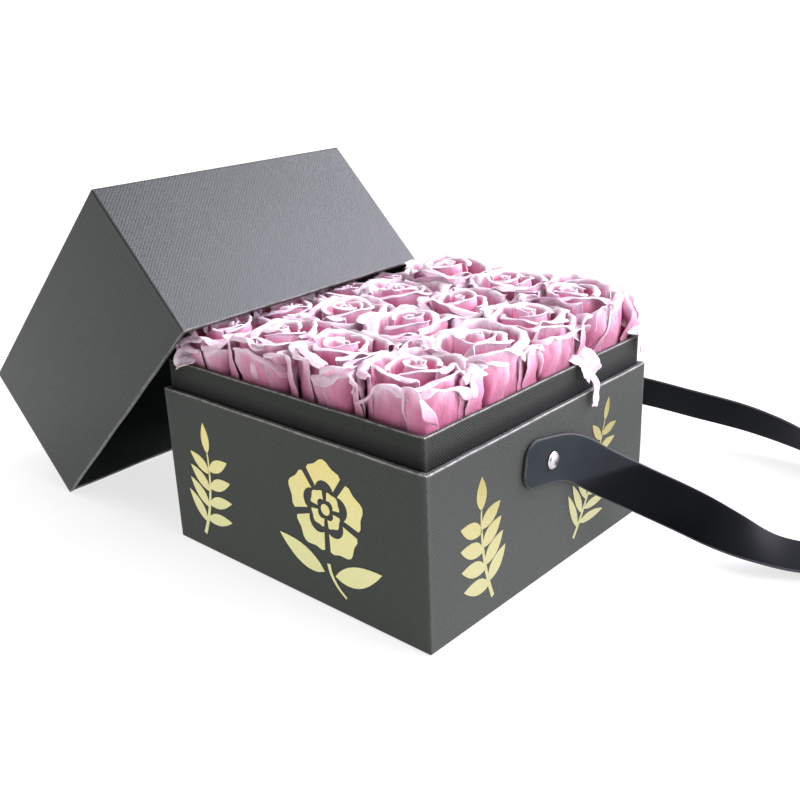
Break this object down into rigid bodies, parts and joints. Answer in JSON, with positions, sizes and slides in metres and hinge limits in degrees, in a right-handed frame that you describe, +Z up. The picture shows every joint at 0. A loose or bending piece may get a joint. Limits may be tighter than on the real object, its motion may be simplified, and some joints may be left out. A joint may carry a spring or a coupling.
{
  "type": "flower box",
  "caption": "Square black gift box with preserved rose heads in foam, a deep lift-off lid leaning on its neck, and a riveted folding strap handle.",
  "frame": {"origin": "centre of the underside of the base box, on the surface it stands on", "axes": "+Z up, +X out of the front-right face that carries a strap rivet, -Y out of the front-left face, the lid leans on the -X side"},
  "size_m": [0.5379, 0.3485, 0.2095],
  "materials": {
    "base_paper": "satin",
    "neck_paper": "satin",
    "lid_paper": "satin",
    "strap_leather": "satin",
    "chrome": "polished",
    "rose_petal": "matte",
    "foam": "matte",
    "stem": "matte"
  },
  "bodies": {
    "base": {"base_floor": "base_paper", "base_wall_back": "base_paper", "base_wall_front": "base_paper", "base_wall_left": "base_paper", "base_wall_right": "base_paper", "floral_foam": "foam", "neck_back": "neck_paper", "neck_front": "neck_paper", "neck_left": "neck_paper", "neck_right": "neck_paper", "rivet_left": "chrome", "rivet_right": "chrome", "rivet_washer_left": "chrome", "rivet_washer_right": "chrome", "rose_11": "rose_petal", "rose_12": "rose_petal", "rose_13": "rose_petal", "rose_14": "rose_petal", "rose_21": "rose_petal", "rose_22": "rose_petal", "rose_23": "rose_petal", "rose_24": "rose_petal", "rose_31": "rose_petal", "rose_32": "rose_petal", "rose_33": "rose_petal", "rose_34": "rose_petal", "rose_41": "rose_petal", "rose_42": "rose_petal", "rose_43": "rose_petal", "rose_44": "rose_petal", "stem_11": "stem", "stem_12": "stem", "stem_13": "stem", "stem_14": "stem", "stem_21": "stem", "stem_22": "stem", "stem_23": "stem", "stem_24": "stem", "stem_31": "stem", "stem_32": "stem", "stem_33": "stem", "stem_34": "stem", "stem_41": "stem", "stem_42": "stem", "stem_43": "stem", "stem_44": "stem"},
    "lid": {"lid_top": "lid_paper", "lid_wall_back": "lid_paper", "lid_wall_front": "lid_paper", "lid_wall_lower": "lid_paper", "lid_wall_upper": "lid_paper"},
    "handle": {"strap": "strap_leather"}
  },
  "joints": [
    {"name": "lid_lift", "type": "slide", "parent": "base", "child": "lid", "axis": [-0.6886, -0.0234, 0.7248], "range_m": [0, 0.15]},
    {"name": "handle_swing", "type": "hinge", "parent": "base", "child": "handle", "pos_m": [0, 0, 0.07], "axis": [1, 0, 0], "range_deg": [0, 28]}
  ]
}
